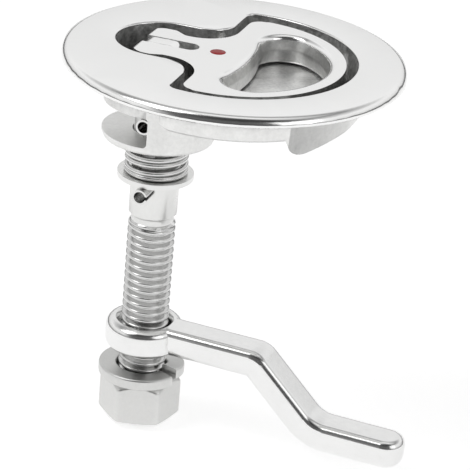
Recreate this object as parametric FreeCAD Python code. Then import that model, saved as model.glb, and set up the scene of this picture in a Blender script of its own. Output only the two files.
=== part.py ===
import FreeCAD, Part
import math
import os

# Flush pull latch: a round plate with a folding ring handle, and below it a
# spring-loaded threaded spindle that carries a cranked lever.
# Origin: centre of the round plate, on the underside of its flange.
# +Z points out of the plate's face, +X from the spindle to the finger ring.
# Lengths are millimetres, angles are degrees.

V = FreeCAD.Vector
UP = V(0, 0, 1)
ACROSS = V(0, 1, 0)

# Round plate
flange_radius = 32.5
flange_thickness = 2.0
flange_edge_radius = 1.3
flange_under_edge = 0.3
recess_rim_edge = 0.3

# Keyhole recess in the plate: a round end for the ring, a lobe for the ears
ring_gap = 2.15
flank_gap = 1.5
recess_shoulder_radius = 2.0
recess_land_radius = 5.4
lobe_radius = 9.3
recess_floor_depth = 4.4
lobe_floor_depth = 8.5
shell_wall = 1.7
cup_edge = 0.8

# Finger scoop, the deeper part of the cup under the ring's far end
scoop_start_gap = 5.2
scoop_low_gap = 3.4
scoop_low_depth = 7.6
scoop_end_depth = 5.9
scoop_corner_radius = 2.0

# Boss round the spindle, open over its outer half for the stop pin
boss_bottom_depth = 17.9
boss_edge_radius = 1.2
window_floor_depth = 16.2
window_corner_radius = 0.8

# Spindle
spindle_offset = 14.0
shank_radius = 4.75
shank_clearance = 0.3
shank_end_depth = 34.1
shank_chamfer = 0.7
neck_radius = 4.2
neck_length = 1.0
thread_radius = 4.7
thread_clearance = 0.05
spindle_end_depth = 78.2
spindle_end_chamfer = 0.9
tongue_half_width = 3.95
tongue_thickness = 3.4
tongue_clearance = 0.1
tongue_shoulder_gap = 0.35

# Ring handle
handle_sink = 0.5
handle_thickness = 5.4
ring_radius = 20.95
handle_shoulder_radius = 2.6
handle_flank_x = -3.4
handle_neck_radius = 7.3
ear_half_width = 6.9
slot_end_reach = 6.8
ring_width = 2.55
finger_hole_side_x = 2.5
finger_hole_side_radius = 41.0
finger_hole_corner_radius = 3.4
finger_hole_ridge = 0.5
handle_edge = 0.4

# Hinge of the handle and the cam of its ears
hinge_depth = 2.5
hinge_pin_radius = 1.5
hinge_pin_clearance = 0.05
hinge_pin_end_gap = 0.25
cam_radius = 5.15
cam_centre_shift = 0.7

# Enamel dot
dot_radius = 1.65
dot_reach = 10.6
dot_depth = 0.7

# Slotted spring pins: the turn stop, and the seat of the spring washer
roll_pin_radius = 1.5
roll_pin_wall = 0.36
roll_pin_slit = 0.7
stop_pin_depth = 12.9
stop_pin_reach = 8.9
stop_pin_socket = 1.8
stop_pin_gap = 0.05
washer_pin_depth = 27.55
washer_pin_reach = 8.3

# Spring and its washer
spring_wire_radius = 0.55
spring_inner_radius = 5.05
spring_turns = 4.5
spring_steps_per_turn = 20
spring_wire_sides = 6
spring_seat_gap = 0.05
washer_outer_radius = 7.45
washer_thickness = 1.0
washer_bore_clearance = 0.15
washer_seat_gap = 0.05

# Cranked lever
lever_turn = -3.0
lever_lift = 6.2
lever_thickness = 6.1
lever_half_width = 3.8
lever_top_edge = 0.45
lever_under_edge_radius = 2.7
lever_bend_reach = 25.7
lever_crank_run = 12.5
lever_crank_drop = 12.0
lever_bend_radius = 5.0
lever_tip_reach = 56.0
eye_radius = 7.75
eye_edge_radius = 1.4
eye_mouth_radius = 5.9
eye_mouth_depth = 1.2

# Hexagon nut and the split lock washer on it
nut_tail = 1.0
nut_across_flats = 14.29
nut_height = 8.3
nut_turn = -9.0
nut_chamfer_angle = 30.0
lock_washer_outer_radius = 8.6
lock_washer_bore_clearance = 0.35
lock_washer_thickness = 2.35
lock_washer_seat_gap = 0.02
lock_washer_gap_angle = 8.0
lock_washer_turn = -12.0
lock_washer_sprung_angle = 60.0
lock_washer_tilt = 11.0

# Levels and places worked out from the sizes above
recess_radius = ring_radius + ring_gap
scoop_start_x = recess_radius - scoop_start_gap
scoop_low_x = recess_radius - scoop_low_gap
recess_flank_x = handle_flank_x - flank_gap
finger_hole_radius = ring_radius - ring_width
spindle_x = -spindle_offset
handle_top = flange_thickness - handle_sink
handle_bottom = handle_top - handle_thickness
cup_bottom = -recess_floor_depth - shell_wall
boss_radius = lobe_radius + shell_wall
window_top = -lobe_floor_depth - shell_wall
window_floor = -window_floor_depth
boss_bottom = -boss_bottom_depth
spindle_bore_radius = shank_radius + shank_clearance
hinge_z = -hinge_depth
tongue_radius = tongue_half_width
cam_x = spindle_x + cam_centre_shift
cam_z = hinge_z - cam_centre_shift
shank_top = cam_z - cam_radius - tongue_shoulder_gap
slot_half_width = tongue_thickness / 2 + tongue_clearance
window_face_x = spindle_x + roll_pin_radius + stop_pin_gap
washer_bottom = -washer_pin_depth + roll_pin_radius + washer_seat_gap
washer_top = washer_bottom + washer_thickness
thread_bore_radius = thread_radius + thread_clearance
nut_top = -spindle_end_depth + nut_tail + nut_height
lever_top = nut_top + lever_lift + lever_thickness
rounding_steps = 2
BEYOND = 5.0


def cylinder(radius, z_low, z_high, x=0.0, y=0.0):
    return Part.makeCylinder(radius, z_high - z_low, V(x, y, z_low), UP)


def cross_cylinder(radius, y_low, y_high, x, z):
    return Part.makeCylinder(radius, y_high - y_low, V(x, y_low, z), ACROSS)


def box(x_low, x_high, y_low, y_high, z_low, z_high):
    return Part.makeBox(x_high - x_low, y_high - y_low, z_high - z_low, V(x_low, y_low, z_low))


def arc(centre, radius, start_deg, end_deg):
    """Arc in the XY plane, turning from start_deg to end_deg through their mean."""
    points = []
    for angle in (start_deg, (start_deg + end_deg) / 2, end_deg):
        a = math.radians(angle)
        points.append(centre + V(radius * math.cos(a), radius * math.sin(a), 0))
    return Part.Arc(*points).toShape()


def line(start, end):
    return Part.LineSegment(start, end).toShape()


def prism(wire, z_low, z_high):
    face = Part.Face(wire)
    face.translate(V(0, 0, z_low))
    return face.extrude(V(0, 0, z_high - z_low))


def edges_at(shape, z):
    """Edges that lie wholly in the level z."""
    return [e for e in shape.Edges
            if abs(e.BoundBox.ZMin - z) < 1e-4 and abs(e.BoundBox.ZMax - z) < 1e-4]


def rounding(r, z, radius, start_deg, end_deg):
    """Points of a rounded corner in a (radius, z) profile, in steps light enough to mesh."""
    points = []
    for i in range(rounding_steps + 1):
        a = math.radians(start_deg + (end_deg - start_deg) * i / rounding_steps)
        points.append((r + radius * math.cos(a), z + radius * math.sin(a)))
    return points


def revolved(points, x=0.0):
    """Closed profile of (radius, z) points turned about the vertical axis at x."""
    corners = [V(x + r, 0, z) for r, z in points]
    face = Part.Face(Part.makePolygon(corners + corners[:1]))
    return face.revolve(V(x, 0, 0), UP, 360)


def shoulder_edges(radius, shoulder_radius, flank_x, neck_half_width, neck_radius, side):
    """One side of a keyhole outline, from the big circle to the neck, side +1 or -1."""
    tip_x = flank_x + shoulder_radius
    tip_y = math.sqrt((radius - shoulder_radius) ** 2 - tip_x ** 2)
    tip_angle = math.degrees(math.atan2(tip_y, tip_x))
    land_y = neck_half_width + neck_radius
    land_x = flank_x - neck_radius
    shoulder = arc(V(tip_x, side * tip_y, 0), shoulder_radius, side * tip_angle, side * 180)
    flank = line(V(flank_x, side * tip_y, 0), V(flank_x, side * land_y, 0))
    land = arc(V(land_x, side * land_y, 0), neck_radius, 0, side * -90)
    return [shoulder, flank, land], tip_angle, land_x


def keyhole_wire(offset):
    """Outline of the recess, grown outwards by offset."""
    radius = recess_radius + offset
    neck = lobe_radius + offset
    edges = []
    for side in (1, -1):
        side_edges, tip_angle, land_x = shoulder_edges(
            radius, recess_shoulder_radius + offset, recess_flank_x - offset,
            neck, recess_land_radius - offset, side)
        edges += side_edges
        edges.append(line(V(land_x, side * neck, 0), V(spindle_x, side * neck, 0)))
    edges.append(arc(V(0, 0, 0), radius, -tip_angle, tip_angle))
    edges.append(arc(V(spindle_x, 0, 0), neck, 90, 270))
    return Part.Wire(Part.__sortEdges__(edges))


def handle_wire():
    """Outline of the handle seen from above, with its ears left square."""
    end_x = spindle_x - cam_radius - BEYOND
    edges = []
    for side in (1, -1):
        side_edges, tip_angle, land_x = shoulder_edges(
            ring_radius, handle_shoulder_radius, handle_flank_x,
            ear_half_width, handle_neck_radius, side)
        edges += side_edges
        edges.append(line(V(land_x, side * ear_half_width, 0),
                          V(end_x, side * ear_half_width, 0)))
    edges.append(arc(V(0, 0, 0), ring_radius, -tip_angle, tip_angle))
    edges.append(line(V(end_x, ear_half_width, 0), V(end_x, -ear_half_width, 0)))
    return Part.Wire(Part.__sortEdges__(edges))


def finger_hole_wire(inset, z):
    """D-shaped finger hole: a round far side, a bowed near side and two round corners."""
    outer = finger_hole_radius - inset
    side = finger_hole_side_radius + inset
    corner = finger_hole_corner_radius - inset
    side_centre_x = finger_hole_side_x - finger_hole_side_radius
    reach_outer = outer - corner
    reach_side = side + corner
    corner_x = (reach_outer ** 2 - reach_side ** 2 + side_centre_x ** 2) / (2 * side_centre_x)
    corner_y = math.sqrt(reach_outer ** 2 - corner_x ** 2)
    outer_angle = math.degrees(math.atan2(corner_y, corner_x))
    side_angle = math.degrees(math.atan2(corner_y, corner_x - side_centre_x))
    edges = [arc(V(0, 0, z), outer, -outer_angle, outer_angle),
             arc(V(corner_x, corner_y, z), corner, outer_angle, 180 + side_angle),
             arc(V(side_centre_x, 0, z), side, side_angle, -side_angle),
             arc(V(corner_x, -corner_y, z), corner, 180 - side_angle, 360 - outer_angle)]
    return Part.Wire(edges)


def rounded_wire(corners):
    """Closed XZ outline through (x, z, radius) corners, each corner rounded by its radius."""
    count = len(corners)
    ends = []
    arcs = []
    for i, (x, z, radius) in enumerate(corners):
        point = V(x, 0, z)
        before = V(corners[i - 1][0], 0, corners[i - 1][1])
        after = V(corners[(i + 1) % count][0], 0, corners[(i + 1) % count][1])
        if radius == 0:
            ends.append((point, point))
            arcs.append(None)
            continue
        back = (before - point).normalize()
        ahead = (after - point).normalize()
        half = back.getAngle(ahead) / 2
        reach = radius / math.tan(half)
        middle = (back + ahead).normalize()
        centre = point + middle * (radius / math.sin(half))
        start = point + back * reach
        end = point + ahead * reach
        arcs.append(Part.Arc(start, centre - middle * radius, end).toShape())
        ends.append((start, end))
    edges = []
    for i in range(count):
        if arcs[i] is not None:
            edges.append(arcs[i])
        start = ends[i][1]
        end = ends[(i + 1) % count][0]
        if start.distanceToPoint(end) > 1e-6:
            edges.append(line(start, end))
    return Part.Wire(edges)


def scoop(wall, corner_radius):
    """Finger scoop, grown by wall, between the level of the plate and its sloping floor."""
    low = -scoop_low_depth - wall
    end = -scoop_end_depth - wall
    top = -recess_floor_depth + wall
    reach = recess_radius + wall
    slope = (end - low) / (recess_radius - scoop_low_x)
    outline = rounded_wire([
        (scoop_start_x - wall, top, 0),
        (scoop_start_x - wall, -recess_floor_depth, 0),
        (scoop_low_x - wall, low, corner_radius),
        (reach, low + slope * (reach - scoop_low_x), corner_radius / 2),
        (reach, top, 0)])
    face = Part.Face(outline)
    face.translate(V(0, -reach, 0))
    bar = face.extrude(V(0, 2 * reach, 0))
    return bar.common(cylinder(reach, low - BEYOND, top + BEYOND))


def roll_pin(y_low, y_high, z):
    """Spring pin rolled from sheet, along Y, with its slit on the side of the lever."""
    tube = cross_cylinder(roll_pin_radius, y_low, y_high, spindle_x, z)
    bore = cross_cylinder(roll_pin_radius - roll_pin_wall, y_low - BEYOND, y_high + BEYOND, spindle_x, z)
    slit = box(spindle_x, spindle_x + 2 * roll_pin_radius, y_low - BEYOND, y_high + BEYOND,
               z - roll_pin_slit / 2, z + roll_pin_slit / 2)
    return tube.cut(bore).cut(slit)


def base_housing():
    edge = flange_edge_radius
    rim_corner = rounding(flange_radius - edge, flange_thickness - edge, edge, 0, 90)
    flange = revolved([(0, 0), (flange_radius - flange_under_edge, 0), (flange_radius, flange_under_edge)]
                      + rim_corner + [(0, flange_thickness)])
    cup = prism(keyhole_wire(shell_wall), cup_bottom, flange_thickness / 2)
    cup = cup.makeChamfer(cup_edge, edges_at(cup, cup_bottom))
    boss_corner = rounding(boss_radius - boss_edge_radius, boss_bottom + boss_edge_radius, boss_edge_radius, -90, 0)
    boss = revolved([(0, boss_bottom)] + boss_corner
                    + [(boss_radius, flange_thickness / 2), (0, flange_thickness / 2)], spindle_x)
    body = flange.fuse([cup, boss, scoop(shell_wall, scoop_corner_radius)]).removeSplitter()

    recess = prism(keyhole_wire(0), -recess_floor_depth, flange_thickness + BEYOND)
    lobe = cylinder(lobe_radius, -lobe_floor_depth, flange_thickness, spindle_x)
    bore = cylinder(spindle_bore_radius, boss_bottom - BEYOND, 0, spindle_x)
    window = box(spindle_x - boss_radius - BEYOND, window_face_x,
                 -boss_radius - BEYOND, boss_radius + BEYOND, window_floor, window_top)
    inner_edges = [e for e in window.Edges
                   if abs(e.BoundBox.XMin - window_face_x) < 1e-4 and e.BoundBox.YLength > boss_radius]
    window = window.makeFillet(window_corner_radius, inner_edges)
    body = body.cut([recess, lobe, scoop(0, scoop_corner_radius / 2), bore, window])

    rim = [e for e in edges_at(body, flange_thickness)
           if max(math.hypot(v.Point.x, v.Point.y) for v in e.Vertexes) < recess_radius + BEYOND]
    return body.makeChamfer(recess_rim_edge, rim)


def pull_handle():
    plate = prism(handle_wire(), handle_bottom, handle_top)
    ear_side = spindle_x + cam_centre_shift
    plate = plate.cut(box(ear_side - 4 * cam_radius, ear_side, -ring_radius, ring_radius,
                          handle_bottom - BEYOND, handle_top + BEYOND))
    cam = cross_cylinder(cam_radius, -ear_half_width, ear_half_width, cam_x, cam_z)
    cam = cam.cut(box(cam_x - 2 * cam_radius, cam_x + 2 * cam_radius, -ring_radius, ring_radius,
                      handle_top, handle_top + 2 * cam_radius))
    body = plate.fuse(cam).removeSplitter()
    top_edges = [e for e in edges_at(body, handle_top) if e.BoundBox.XMax > cam_x]
    body = body.makeChamfer(handle_edge, top_edges)

    middle = (handle_top + handle_bottom) / 2
    upper = Part.makeLoft([finger_hole_wire(0, handle_top), finger_hole_wire(finger_hole_ridge, middle)],
                          True, True)
    lower = Part.makeLoft([finger_hole_wire(finger_hole_ridge, middle), finger_hole_wire(0, handle_bottom)],
                          True, True)
    body = body.cut([upper, lower])

    slot_end_x = spindle_x + slot_end_reach
    slot = box(spindle_x - 4 * cam_radius, slot_end_x - slot_half_width, -slot_half_width, slot_half_width,
               handle_bottom - 2 * cam_radius, handle_top + BEYOND)
    slot_end = cylinder(slot_half_width, handle_bottom - 2 * cam_radius, handle_top + BEYOND,
                        slot_end_x - slot_half_width)
    hinge_hole = cross_cylinder(hinge_pin_radius + hinge_pin_clearance, -ring_radius, ring_radius,
                                spindle_x, hinge_z)
    dot_socket = cylinder(dot_radius, handle_top - dot_depth, handle_top + BEYOND,
                          spindle_x + dot_reach)
    return body.cut([slot, slot_end, hinge_hole, dot_socket])


def dot_inlay():
    return cylinder(dot_radius, handle_top - dot_depth, handle_top, spindle_x + dot_reach)


def hinge_pin():
    reach = ear_half_width - hinge_pin_end_gap
    return cross_cylinder(hinge_pin_radius, -reach, reach, spindle_x, hinge_z)


def threaded_spindle():
    shank_end = -shank_end_depth
    neck_end = shank_end - neck_length
    end = -spindle_end_depth
    turned = revolved([
        (0, shank_top), (shank_radius, shank_top),
        (shank_radius, shank_end + shank_chamfer), (neck_radius, shank_end), (neck_radius, neck_end),
        (thread_radius, neck_end - (thread_radius - neck_radius)),
        (thread_radius, end + spindle_end_chamfer), (thread_radius - spindle_end_chamfer, end), (0, end)],
        spindle_x)
    tongue = box(spindle_x - tongue_half_width, spindle_x + tongue_half_width,
                 -tongue_thickness / 2, tongue_thickness / 2, shank_top - 1.0, hinge_z)
    tongue_end = cross_cylinder(tongue_radius, -tongue_thickness / 2, tongue_thickness / 2, spindle_x, hinge_z)
    hinge_hole = cross_cylinder(hinge_pin_radius, -BEYOND, BEYOND, spindle_x, hinge_z)
    stop_socket = cross_cylinder(roll_pin_radius, -2 * shank_radius, stop_pin_socket, spindle_x, -stop_pin_depth)
    washer_pin_hole = cross_cylinder(roll_pin_radius, -2 * shank_radius, 2 * shank_radius,
                                     spindle_x, -washer_pin_depth)
    body = turned.fuse([tongue, tongue_end]).removeSplitter()
    return body.cut([hinge_hole, stop_socket, washer_pin_hole])


def stop_pin():
    return roll_pin(-stop_pin_reach, stop_pin_socket, -stop_pin_depth)


def washer_pin():
    return roll_pin(-washer_pin_reach, washer_pin_reach, -washer_pin_depth)


def spring_washer():
    bore = shank_radius + washer_bore_clearance
    ring = cylinder(washer_outer_radius, washer_bottom, washer_top, spindle_x)
    return ring.cut(cylinder(bore, washer_bottom - BEYOND, washer_top + BEYOND, spindle_x))


def compression_spring():
    radius = spring_inner_radius + spring_wire_radius
    low = washer_top + spring_seat_gap + spring_wire_radius
    high = boss_bottom - spring_seat_gap - spring_wire_radius
    count = round(spring_turns * spring_steps_per_turn)
    corners = []
    for i in range(spring_wire_sides + 1):
        a = 2 * math.pi * (i + 0.5) / spring_wire_sides
        corners.append(V(radius + spring_wire_radius * math.cos(a), 0, spring_wire_radius * math.sin(a)))
    sections = []
    for i in range(count + 1):
        section = Part.makePolygon(corners)
        section.rotate(V(0, 0, 0), UP, 180 + 360 * spring_turns * i / count)
        section.translate(V(spindle_x, 0, low + (high - low) * i / count))
        sections.append(section)
    return Part.makeLoft(sections, True, True)


def lever_corner():
    """One side of the arm's section from its flat top to its underside, as (width, z)."""
    w = lever_half_width
    under = lever_under_edge_radius
    return ([(w - lever_top_edge, 0), (w, -lever_top_edge)]
            + rounding(w - under, under - lever_thickness, under, 0, -90))


def lever_section():
    """Cross-section of the lever's arm: flat top, well rounded underside."""
    right = [V(0, y, z) for y, z in lever_corner()]
    left = [V(0, -y, z) for y, z in reversed(lever_corner())]
    return Part.makePolygon(right + left + right[:1])


def lever_arm():
    top = lever_top
    tip_x = lever_tip_reach - lever_half_width
    crank_end = lever_bend_reach + lever_crank_run
    low = top - lever_crank_drop
    turn = math.atan2(lever_crank_drop, lever_crank_run)
    reach = lever_bend_radius * math.tan(turn / 2)
    along = V(math.cos(turn), 0, -math.sin(turn))
    bend = V(lever_bend_reach, 0, top)
    foot = V(crank_end, 0, low)

    def corner(point, before, after):
        start = point - before * reach
        end = point + after * reach
        bisector = (after - before).normalize()
        centre = point + bisector * (lever_bend_radius / math.cos(turn / 2))
        return start, Part.Arc(start, centre - bisector * lever_bend_radius, end).toShape(), end

    level = V(1, 0, 0)
    bend_start, bend_arc, bend_end = corner(bend, level, along)
    foot_start, foot_arc, foot_end = corner(foot, along, level)
    path = Part.Wire([line(V(0, 0, top), bend_start), bend_arc, line(bend_end, foot_start),
                      foot_arc, line(foot_end, V(tip_x, 0, low))])
    section = lever_section()
    section.translate(V(0, 0, top))
    return path.makePipeShell([section], True, False), tip_x, low


def lever_tip(tip_x, low):
    """Rounded end: half of the arm's section turned about the arm's centre."""
    tip = revolved([(0, 0)] + lever_corner() + [(0, -lever_thickness)])
    tip.translate(V(tip_x, 0, low))
    return tip


def cam_lever():
    top = lever_top
    bottom = top - lever_thickness
    arm, tip_x, low = lever_arm()
    edge = eye_edge_radius
    eye = revolved([(0, bottom)] + rounding(eye_radius - edge, bottom + edge, edge, -90, 0)
                   + rounding(eye_radius - edge, top - edge, edge, 0, 90) + [(0, top)])
    body = eye.fuse([arm, lever_tip(tip_x, low)]).removeSplitter()
    bore = cylinder(thread_bore_radius, bottom - BEYOND, top + BEYOND)
    mouth = Part.makeCone(thread_bore_radius, eye_mouth_radius, eye_mouth_depth, V(0, 0, top - eye_mouth_depth), UP)
    body = body.cut([bore, mouth])
    body.rotate(V(0, 0, 0), UP, lever_turn)
    body.translate(V(spindle_x, 0, 0))
    return body


def lock_washer():
    """Split ring of square wire: its last stretch, at the split, is sprung upwards."""
    inner = thread_radius + lock_washer_bore_clearance
    lower = nut_top + lock_washer_seat_gap
    corners = [V(inner, 0, 0), V(lock_washer_outer_radius, 0, 0),
               V(lock_washer_outer_radius, 0, lock_washer_thickness), V(inner, 0, lock_washer_thickness)]
    section = Part.Face(Part.makePolygon(corners + corners[:1]))
    flat = section.revolve(V(0, 0, 0), UP, 360 - lock_washer_gap_angle - lock_washer_sprung_angle)
    sprung = section.revolve(V(0, 0, 0), UP, -lock_washer_sprung_angle)
    sprung.rotate(V(0, 0, 0), V(1, 0, 0), -lock_washer_tilt)
    hinge = section.revolve(V(0, 0, 0), UP, lock_washer_tilt)
    ring = flat.fuse([sprung, hinge]).removeSplitter()
    ring.rotate(V(0, 0, 0), UP, lock_washer_turn + lock_washer_sprung_angle)
    ring.translate(V(spindle_x, 0, lower))
    return ring


def hex_nut():
    corner_radius = nut_across_flats / math.sqrt(3)
    flat_radius = nut_across_flats / 2
    bottom = nut_top - nut_height
    fall = (corner_radius - flat_radius) * math.tan(math.radians(nut_chamfer_angle))
    corners = []
    for i in range(7):
        a = math.radians(60 * i + 30 + nut_turn)
        corners.append(V(spindle_x + corner_radius * math.cos(a), corner_radius * math.sin(a), 0))
    prism_body = prism(Part.makePolygon(corners), bottom, nut_top)
    turned = revolved([
        (0, bottom), (flat_radius, bottom), (corner_radius, bottom + fall),
        (corner_radius, nut_top - fall), (flat_radius, nut_top), (0, nut_top)], spindle_x)
    bore = cylinder(thread_bore_radius, bottom - BEYOND, nut_top + BEYOND, spindle_x)
    return prism_body.common(turned).cut(bore)


PIECES = (base_housing, pull_handle, dot_inlay, hinge_pin, threaded_spindle, stop_pin,
          compression_spring, spring_washer, washer_pin, cam_lever, lock_washer, hex_nut)


def write_pieces():
    os.makedirs("parts", exist_ok=True)
    for make in PIECES:
        shape = make()
        solids = shape.Solids
        print(make.__name__, "solids", len(solids), "valid", shape.isValid(), "volume", round(shape.Volume, 1))
        if len(solids) == 1:
            shape = solids[0]
        shape.exportStep("parts/" + make.__name__ + ".step")


write_pieces()
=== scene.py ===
import math

import bmesh
import bpy
from mathutils import Matrix, Vector


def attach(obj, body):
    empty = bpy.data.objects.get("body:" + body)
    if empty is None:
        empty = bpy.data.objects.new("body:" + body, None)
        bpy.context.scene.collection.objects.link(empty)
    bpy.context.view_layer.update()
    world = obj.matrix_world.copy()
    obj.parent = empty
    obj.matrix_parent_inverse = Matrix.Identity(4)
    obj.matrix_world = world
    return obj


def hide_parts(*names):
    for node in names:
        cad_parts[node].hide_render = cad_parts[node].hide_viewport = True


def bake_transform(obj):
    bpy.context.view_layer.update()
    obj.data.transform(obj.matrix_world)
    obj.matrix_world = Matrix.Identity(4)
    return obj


# Flush pull latch: polished round plate with a folding ring, a threaded
# spindle below it and a cranked lever. Lengths are in metres, or in mm where
# a heading says so. X runs from the shaft to the lever's tip, Z is up, and
# the plate's underside is at Z 0.

MM = 0.001
MERGE_DISTANCE = 1e-7
PAST_PIECE = 2.0  # how far a cutter reaches past the piece, in mm
SOFT_ANGLE = math.radians(42)  # edges sharper than this are rounded
SOFT_SEGMENTS = 3

# Camera, fitted to the plate's rim, the shaft and the lever
CAMERA_AZIMUTH = math.radians(17.23)
CAMERA_ELEVATION = math.radians(24.47)
CAMERA_ROLL = math.radians(5.09)
CAMERA_DISTANCE = 465.24 * MM
CAMERA_FOCAL_PX = 2462.8
SHAFT_PX = (164.695, 48.973)
FRAME_PX = 470
SENSOR_WIDTH = 36.0
SHAFT_X = -14.0 * MM
FLOOR_Z = -78.8 * MM

# Ring handle, in mm
RING_RADIUS = 20.95
SHOULDER_RADIUS = 2.6
FLANK_X = -3.4
NECK_FILLET = 7.3
WAIST_X = -11.9
WAIST_FAR = 5.2
WAIST_NEAR = 6.8
WAIST_FAR_ROUND = 2.2
WAIST_NEAR_ROUND = 0.8
EAR_X = -14.2
EAR_START_ROUND = 2.0
EAR_FAR = 6.9
EAR_NEAR = 7.7
EAR_FAR_ROUND = 2.6
EAR_NEAR_ROUND = 3.4
EAR_END_X = -18.55
EAR_TOP_ROUND = 0.8
HANDLE_TOP = 1.5
HANDLE_BOTTOM = -3.9
HANDLE_EDGE = 0.3
CAM_X = -13.3
CAM_Z = -3.2
CAM_RADIUS = 5.15
CAM_NEAR = 6.5
SLOT_HALF = 1.8
SLOT_END_X = -7.2
SLOT_FLARE = 1.4
SLOT_MOUTH = 0.4
SLOT_MOUTH_ROUND = 1.6
HOLE_RADIUS = 17.8
HOLE_SIDE_X = 2.9
HOLE_SIDE_RADIUS = 41.0
HOLE_CORNER_RADIUS = 5.2
HOLE_RIM_ROUND = 1.1
HOLE_RIDGE = 0.3
HOLE_RIDGE_HALF = 0.15
HOLE_FOOT = 0.3
HOLE_FOOT_FLARE = 0.2
HOLE_MARGIN = 0.3  # how far past the hole's outline a face still counts as its wall
SLOT_MARGIN = 0.1  # the same for the slot
TONGUE_TOP = 1.47
TONGUE_BOTTOM = -2.5
TONGUE_HALF = 1.65
TONGUE_TOP_ROUND = 2.2
TONGUE_UNDER_ROUND = 1.6
TONGUE_EDGE = 0.25
TONGUE_LEFT_X = -18.6
TONGUE_RIGHT_X = -10.5
DOT_X = -3.4
DOT_RADIUS = 1.55
DOT_SIDES = 64
# The dot's section: distance from its axis, and height over the handle's top
DOT_SECTION = ((0.02, 0.16), (0.5, 0.15), (1.0, 0.11), (1.35, 0.05), (DOT_RADIUS, -0.02),
               (DOT_RADIUS, -0.4), (0.02, -0.4))

# The housing's recess, in mm: faces within these bounds take its floor's finish, made lighter as painted
# light, and its walls' finish, made darker as painted shade
RECESS_RADIUS = 23.0
RECESS_START_X = -5.0
LOBE_RADIUS = 9.2
LOBE_DEPTH = 8.6
NECK_END_X = -4.5
# How far below the plate's underside a face still counts as plate: one that looks up, and any
SEAT_MARGIN = 0.1
RIM_MARGIN = 0.5

# Spindle thread
THREAD_PITCH = 1.5875 * MM
THREAD_MAJOR = 4.7 * MM
THREAD_DEPTH = 0.92 * MM
THREAD_TOP_Z = -35.1 * MM
THREAD_END_Z = -78.2 * MM
THREAD_SIDES = 64
THREAD_ROWS = 12
THREAD_WELD = 1.5e-6  # joins the sheet's two sides where they meet
# Keeps a row that starts a turn from being taken for the end of the last one
ROW_NUDGE = 0.0005
FLAT_AREA = 1e-13  # faces squeezed against the thread's ends have less area than this
# One pitch of the thread: how far through it, and how much of the depth is cut there
THREAD_TOOTH = ((0.0, 0.0), (0.17, 0.0), (0.5, 1.0), (0.58, 1.0), (0.92, 0.0), (1.0, 0.0))
NECK_RADIUS = 4.2 * MM
END_CHAMFER = 0.9 * MM

# Spring
SPRING_RADIUS = 5.75 * MM
SPRING_WIRE = 0.5 * MM
SPRING_LOW_Z = -24.4 * MM
SPRING_RISE = 5.9 * MM
SPRING_TURNS = 5.4
SPRING_START = math.radians(190)
SPRING_STEPS = 48
WIRE_SIDES = 16
# Squared at its ends: how far along the wire, and how much of its rise is climbed there
SPRING_CLIMB = ((0.0, 0.0), (0.10, 0.0), (0.25, 0.19), (0.42, 0.46), (0.60, 0.63), (0.80, 0.90),
                (0.93, 1.0), (1.0, 1.0))

# Cranked lever, in mm
LEVER_TURN = math.radians(-3)
LEVER_TOP = -56.6
LEVER_THICKNESS = 6.1
LEVER_HALF = 3.8
LEVER_TOP_ROUND = 1.45
LEVER_UNDER_ROUND = 2.7
LEVER_BEND_X = 25.7
LEVER_CRANK_RUN = 12.5
LEVER_CRANK_DROP = 12.0
LEVER_BEND_RADIUS = 5.0
LEVER_TIP_X = 52.2
LEVER_BEND_STEPS = 10
LEVER_TIP_STEPS = 24
EYE_RADIUS = 7.75
EYE_ROUND = 1.8
EYE_MOUTH_DEPTH = 1.2
EYE_BORE = 4.78
EYE_LIP = 0.35
EYE_FOOT_EDGE = 0.3
EYE_SIDES = 96

# Nut and split washer
NUT_FLATS = 14.29 * MM
NUT_TOP_Z = -68.9 * MM
NUT_BOTTOM_Z = -77.2 * MM
NUT_TURN = math.radians(17)
NUT_CORNER = 1.0 * MM
NUT_CHAMFER = math.radians(42)
NUT_FOOT_SLOPE = math.radians(12)
NUT_EDGE = 0.25 * MM
NUT_FACE_INSET = 0.35 * MM
BORE_RADIUS = 4.8 * MM
SPLIT_INNER = 5.05 * MM
SPLIT_OUTER = 8.6 * MM
SPLIT_THICKNESS = 2.3 * MM
SPLIT_EDGE = 0.45 * MM
SPLIT_LIFT = 1.3 * MM
SPLIT_TURN = math.radians(-20)
SPLIT_GAP = math.radians(7)
SPLIT_SPRUNG = math.radians(75)
SPLIT_BEND = 1.5
SPLIT_CLEARANCE = 0.02 * MM

# Studio
FLOOR_HALF = 3.0
FLOOR_GLOW = 0.61
AMBIENT = (0.42, 0.42, 0.42, 1)
WHITE = (1, 1, 1, 1)
LIGHT_SIZE = 0.5
LIGHT_TARGET = (0, 0, -0.03)
LIGHTS = (("key", (-0.45, -0.35, 0.85), 2.2), ("fill", (0.8, -0.4, 0.45), 0.9))
# Brightness of the studio in reflections, from level with the table up to overhead
TENT_STOPS = ((0.0, 0.55), (0.03, 0.05), (0.10, 0.10), (0.2, 0.85), (0.5, 1.0), (0.72, 0.55),
              (0.80, 0.25), (0.88, 0.6), (1.0, 1.0))
# The photographer's side of the tent is darker: cosines where the shade starts and is full,
# and the share of light left at each
DARK_SIDE_ELEVATION = math.radians(35)
DARK_SIDE_RANGE = (0.6, 0.85, 1.0, 0.12)

# Finishes
WORN_AND_GLINTING_METAL = (0.95, 0.95, 0.94, 1.0)
EDGE_START = 0.51  # pointiness from which an edge is brightened, as wear and as painted highlight


def new_object(name, data):
    thing = bpy.data.objects.new(name, data)
    bpy.context.scene.collection.objects.link(thing)
    return thing


# Nodes

def math_node(tree, operation, *values):
    """A math node, its values being sockets or plain numbers; gives its result."""
    node = tree.nodes.new("ShaderNodeMath")
    node.operation = operation
    for given, value in zip(node.inputs, values):
        if isinstance(value, (int, float)):
            given.default_value = value
        else:
            tree.links.new(value, given)
    return node.outputs[0]


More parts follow.
